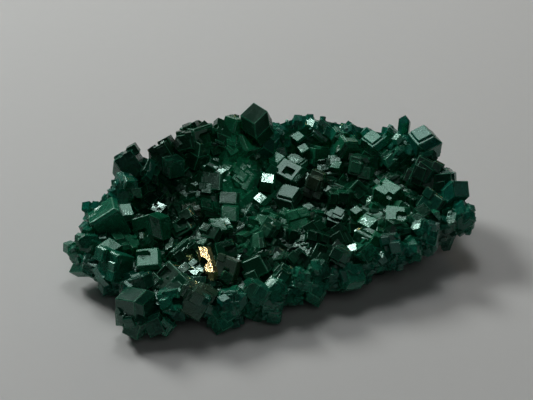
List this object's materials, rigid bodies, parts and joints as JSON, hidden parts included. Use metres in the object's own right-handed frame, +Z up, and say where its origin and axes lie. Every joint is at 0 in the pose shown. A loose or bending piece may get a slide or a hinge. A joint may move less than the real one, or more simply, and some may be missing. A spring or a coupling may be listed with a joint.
{
  "type": "dioptase cluster",
  "caption": "Thin dished plate of intergrown blocky emerald-green dioptase crystals with rhombic faces, a raised ridge along the back left and a low front lip; a mineral specimen that rests flat.",
  "frame": {"origin": "middle of the object's box in plan, on the flat underside that it rests on", "axes": "+X along its length to the right as pictured, +Y away from its low front lip, +Z up"},
  "size_m": [0.0484, 0.0346, 0.0139],
  "materials": {
    "dioptase": "glassy crystal faces, translucent deep bluish green, paler and teal at thin edges"
  },
  "bodies": {
    "root": {"crystal_cluster": "dioptase"}
  },
  "joints": []
}
